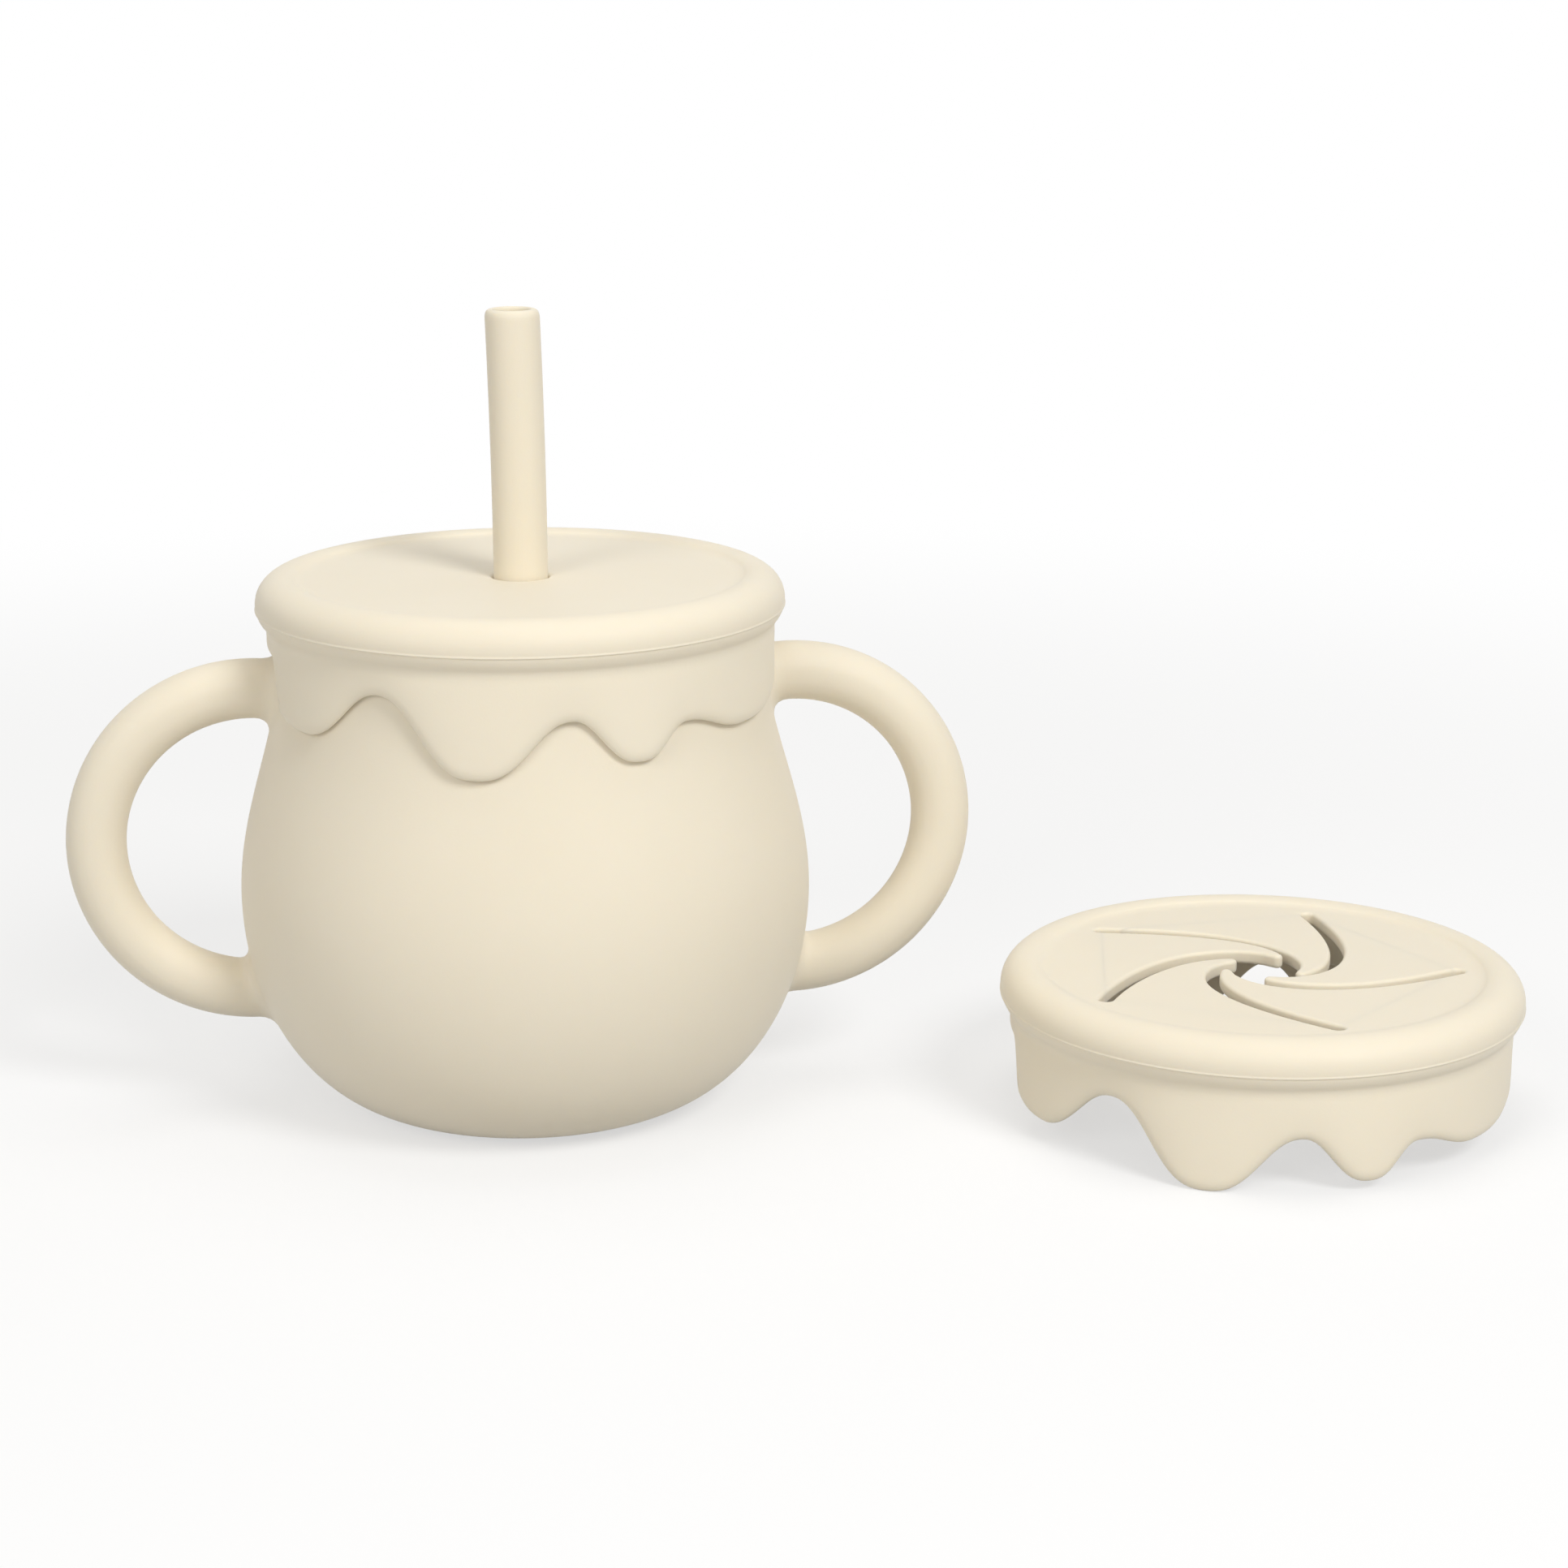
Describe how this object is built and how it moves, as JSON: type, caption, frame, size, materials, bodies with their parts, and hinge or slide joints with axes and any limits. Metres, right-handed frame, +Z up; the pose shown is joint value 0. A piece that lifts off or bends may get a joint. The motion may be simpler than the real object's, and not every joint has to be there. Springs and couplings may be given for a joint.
{
  "type": "toddler snack container",
  "caption": "Soft silicone snack and drink cup with loop handles, a straw lid in place, and a spare snack lid with flexible spiral flaps beside it.",
  "frame": {"origin": "centre of the flat that the pot stands on", "axes": "+Z up along the pot's axis, X from the left handle to the right one, +Y away from the front"},
  "size_m": [0.2308, 0.1137, 0.128],
  "materials": {
    "cup_silicone": "matte, moulded",
    "lid_silicone": "matte, moulded",
    "straw_silicone": "matte, extruded"
  },
  "bodies": {
    "cup": {"cup_pot": "cup_silicone", "left_handle": "cup_silicone", "right_handle": "cup_silicone"},
    "straw_lid": {"straw_lid": "lid_silicone"},
    "straw": {"straw": "straw_silicone"},
    "snack_lid": {"snack_lid": "lid_silicone"},
    "snack_flap_1": {"snack_flap_1": "lid_silicone"},
    "snack_flap_2": {"snack_flap_2": "lid_silicone"},
    "snack_flap_3": {"snack_flap_3": "lid_silicone"},
    "snack_flap_4": {"snack_flap_4": "lid_silicone"},
    "snack_flap_5": {"snack_flap_5": "lid_silicone"}
  },
  "joints": [
    {"name": "straw_lid_lift", "type": "slide", "parent": "cup", "child": "straw_lid", "axis": [0, 0, 1], "range_m": [0, 0.1]},
    {"name": "straw_slide", "type": "slide", "parent": "straw_lid", "child": "straw", "axis": [0, 0, 1], "range_m": [-0.003, 0.066]},
    {"name": "snack_lid_lift", "type": "slide", "parent": "cup", "child": "snack_lid", "axis": [0, 0, 1], "range_m": [0, 0.1]},
    {"name": "snack_flap_1_bend", "type": "hinge", "parent": "snack_lid", "child": "snack_flap_1", "pos_m": [0.13931, -0.01611, 0.0221], "axis": [0.3907, -0.9205, 0], "range_deg": [-35, 42], "stiffness_Nm_per_rad": 0.05},
    {"name": "snack_flap_2_bend", "type": "hinge", "parent": "snack_lid", "child": "snack_flap_2", "pos_m": [0.11379, -0.00077, 0.0221], "axis": [0.9962, 0.0872, 0], "range_deg": [-35, 42], "stiffness_Nm_per_rad": 0.05},
    {"name": "snack_flap_3_bend", "type": "hinge", "parent": "snack_lid", "child": "snack_flap_3", "pos_m": [0.09133, -0.0203, 0.0221], "axis": [0.225, 0.9744, 0], "range_deg": [-35, 42], "stiffness_Nm_per_rad": 0.05},
    {"name": "snack_flap_4_bend", "type": "hinge", "parent": "snack_lid", "child": "snack_flap_4", "pos_m": [0.10296, -0.0477, 0.0221], "axis": [-0.8572, 0.515, 0], "range_deg": [-35, 42], "stiffness_Nm_per_rad": 0.05},
    {"name": "snack_flap_5_bend", "type": "hinge", "parent": "snack_lid", "child": "snack_flap_5", "pos_m": [0.13261, -0.04511, 0.0221], "axis": [-0.7547, -0.6561, 0], "range_deg": [-35, 42], "stiffness_Nm_per_rad": 0.05}
  ]
}
